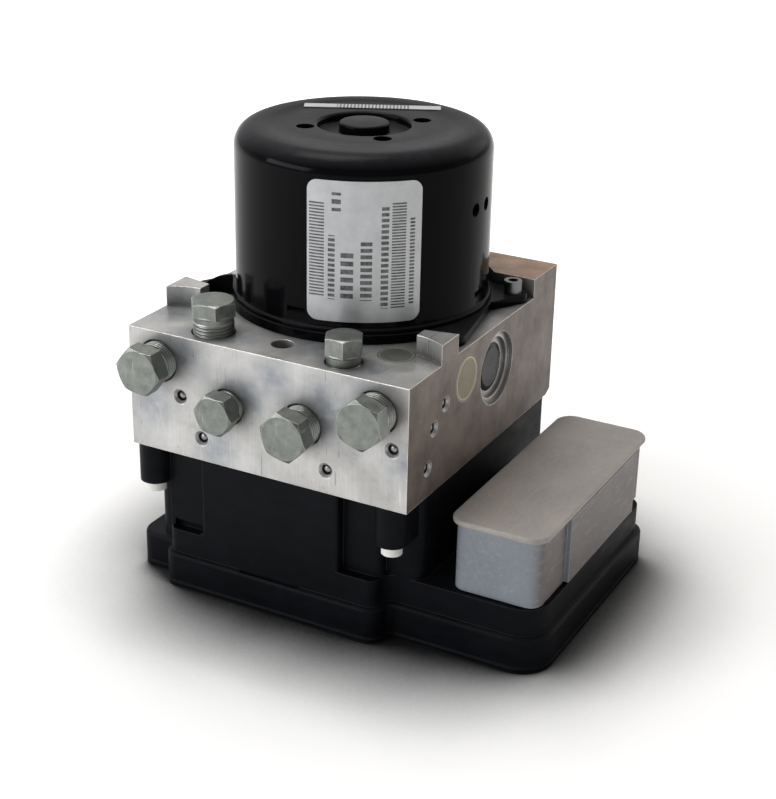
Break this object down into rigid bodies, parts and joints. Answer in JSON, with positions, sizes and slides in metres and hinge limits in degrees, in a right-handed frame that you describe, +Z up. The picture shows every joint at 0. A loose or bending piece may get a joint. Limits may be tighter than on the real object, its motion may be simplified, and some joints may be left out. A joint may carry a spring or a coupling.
{
  "type": "abs brake module",
  "caption": "Brake pressure module: milled metal valve block with screwed port plugs, round motor on top and a black plastic controller with a capped connector below.",
  "frame": {"origin": "where the motor's axis meets the plane that the module rests on", "axes": "+X to the connector's side, +Y away from the front port plugs, +Z up along the motor's axis"},
  "size_m": [0.1349, 0.1086, 0.138],
  "materials": {
    "block_aluminium": "milled",
    "zinc_plate": "satin",
    "steel": "satin",
    "bright_steel": "polished",
    "spring_steel": "satin",
    "black_paint": "gloss",
    "dark_seal": "satin",
    "brass": "satin",
    "bronze": "satin",
    "copper": "satin",
    "carbon": "matte",
    "ferrite": "matte",
    "lamination": "satin",
    "black_rubber": "matte",
    "black_plastic": "fine grain",
    "natural_plastic": "matte",
    "milky_plastic": "translucent, frosted",
    "white_coat": "satin",
    "board_green": "gloss",
    "chip_black": "matte",
    "tin": "bright",
    "silver_foil": "satin foil"
  },
  "bodies": {
    "module": {"accumulator_caps": "steel", "accumulator_spring_left": "spring_steel", "accumulator_spring_right": "spring_steel", "ball_plugs": "bright_steel", "board_parts": "chip_black", "brush_plate": "natural_plastic", "brush_spring_left": "spring_steel", "brush_spring_right": "spring_steel", "circuit_board": "board_green", "coil_pins": "tin", "coil_windings": "copper", "coil_yokes": "steel", "connector_pins": "tin", "controller_cover": "black_plastic", "controller_gasket": "black_rubber", "controller_housing": "black_plastic", "controller_screws": "white_coat", "damper_disc": "brass", "flange_bush": "bronze", "inlet_valves": "steel", "lead_pins": "tin", "lead_sleeve": "natural_plastic", "motor_can": "black_paint", "motor_flange": "black_paint", "motor_magnets": "ferrite", "motor_screws": "bright_steel", "motor_seal": "black_rubber", "outlet_valves": "steel", "port_plugs_m10": "zinc_plate", "port_plugs_m12": "zinc_plate", "pump_plugs": "dark_seal", "pump_sleeves": "steel", "pump_spring_left": "spring_steel", "pump_spring_right": "spring_steel", "side_label": "silver_foil", "top_bush": "bronze", "top_disc": "brass", "top_label": "silver_foil", "valve_block": "block_aluminium"},
    "armature": {"motor_shaft": "bright_steel", "armature_core": "lamination", "armature_winding": "copper", "commutator": "copper"},
    "eccentric_ring": {"eccentric_ring": "steel"},
    "pump_piston_left": {"pump_piston_left": "bright_steel"},
    "pump_piston_right": {"pump_piston_right": "bright_steel"},
    "accumulator_piston_left": {"accumulator_piston_left": "steel"},
    "accumulator_piston_right": {"accumulator_piston_right": "steel"},
    "inlet_tappet_1": {"inlet_tappet_1": "bright_steel"},
    "outlet_tappet_1": {"outlet_tappet_1": "bright_steel"},
    "inlet_tappet_2": {"inlet_tappet_2": "bright_steel"},
    "outlet_tappet_2": {"outlet_tappet_2": "bright_steel"},
    "inlet_tappet_3": {"inlet_tappet_3": "bright_steel"},
    "outlet_tappet_3": {"outlet_tappet_3": "bright_steel"},
    "inlet_tappet_4": {"inlet_tappet_4": "bright_steel"},
    "outlet_tappet_4": {"outlet_tappet_4": "bright_steel"},
    "carbon_brush_left": {"carbon_brush_left": "carbon"},
    "carbon_brush_right": {"carbon_brush_right": "carbon"},
    "connector_cap": {"connector_cap": "milky_plastic"}
  },
  "joints": [
    {"name": "armature_spin", "type": "hinge", "parent": "module", "child": "armature", "pos_m": [0, 0, 0.1], "axis": [0, 0, 1], "continuous": true},
    {"name": "ring_spin", "type": "hinge", "parent": "armature", "child": "eccentric_ring", "pos_m": [0, 0.0011, 0.0703], "axis": [0, 0, 1], "continuous": true},
    {"name": "pump_slide_left", "type": "slide", "parent": "module", "child": "pump_piston_left", "axis": [-1, 0, 0], "range_m": [0, 0.0022], "stiffness_N_per_m": 2000, "springref_m": -0.002, "deforming": ["pump_spring_left"]},
    {"name": "pump_slide_right", "type": "slide", "parent": "module", "child": "pump_piston_right", "axis": [1, 0, 0], "range_m": [0, 0.0022], "stiffness_N_per_m": 2000, "springref_m": -0.002, "deforming": ["pump_spring_right"]},
    {"name": "accumulator_slide_left", "type": "slide", "parent": "module", "child": "accumulator_piston_left", "axis": [0, 1, 0], "range_m": [0, 0.007], "stiffness_N_per_m": 2500, "springref_m": -0.003, "deforming": ["accumulator_spring_left"]},
    {"name": "accumulator_slide_right", "type": "slide", "parent": "module", "child": "accumulator_piston_right", "axis": [0, 1, 0], "range_m": [0, 0.007], "stiffness_N_per_m": 2500, "springref_m": -0.003, "deforming": ["accumulator_spring_right"]},
    {"name": "inlet_lift_1", "type": "slide", "parent": "module", "child": "inlet_tappet_1", "axis": [0, 0, 1], "range_m": [0, 0.0004], "stiffness_N_per_m": 2000, "springref_m": -0.0005},
    {"name": "outlet_lift_1", "type": "slide", "parent": "module", "child": "outlet_tappet_1", "axis": [0, 0, -1], "range_m": [0, 0.0004], "stiffness_N_per_m": 2000, "springref_m": -0.0005},
    {"name": "inlet_lift_2", "type": "slide", "parent": "module", "child": "inlet_tappet_2", "axis": [0, 0, 1], "range_m": [0, 0.0004], "stiffness_N_per_m": 2000, "springref_m": -0.0005},
    {"name": "outlet_lift_2", "type": "slide", "parent": "module", "child": "outlet_tappet_2", "axis": [0, 0, -1], "range_m": [0, 0.0004], "stiffness_N_per_m": 2000, "springref_m": -0.0005},
    {"name": "inlet_lift_3", "type": "slide", "parent": "module", "child": "inlet_tappet_3", "axis": [0, 0, 1], "range_m": [0, 0.0004], "stiffness_N_per_m": 2000, "springref_m": -0.0005},
    {"name": "outlet_lift_3", "type": "slide", "parent": "module", "child": "outlet_tappet_3", "axis": [0, 0, -1], "range_m": [0, 0.0004], "stiffness_N_per_m": 2000, "springref_m": -0.0005},
    {"name": "inlet_lift_4", "type": "slide", "parent": "module", "child": "inlet_tappet_4", "axis": [0, 0, 1], "range_m": [0, 0.0004], "stiffness_N_per_m": 2000, "springref_m": -0.0005},
    {"name": "outlet_lift_4", "type": "slide", "parent": "module", "child": "outlet_tappet_4", "axis": [0, 0, -1], "range_m": [0, 0.0004], "stiffness_N_per_m": 2000, "springref_m": -0.0005},
    {"name": "brush_slide_left", "type": "slide", "parent": "module", "child": "carbon_brush_left", "axis": [-1, 0, 0], "range_m": [0, 0.002], "stiffness_N_per_m": 400, "springref_m": -0.002, "deforming": ["brush_spring_left"]},
    {"name": "brush_slide_right", "type": "slide", "parent": "module", "child": "carbon_brush_right", "axis": [1, 0, 0], "range_m": [0, 0.002], "stiffness_N_per_m": 400, "springref_m": -0.002, "deforming": ["brush_spring_right"]},
    {"name": "cap_pull", "type": "slide", "parent": "module", "child": "connector_cap", "axis": [0, 0, 1], "range_m": [0, 0.03]}
  ]
}
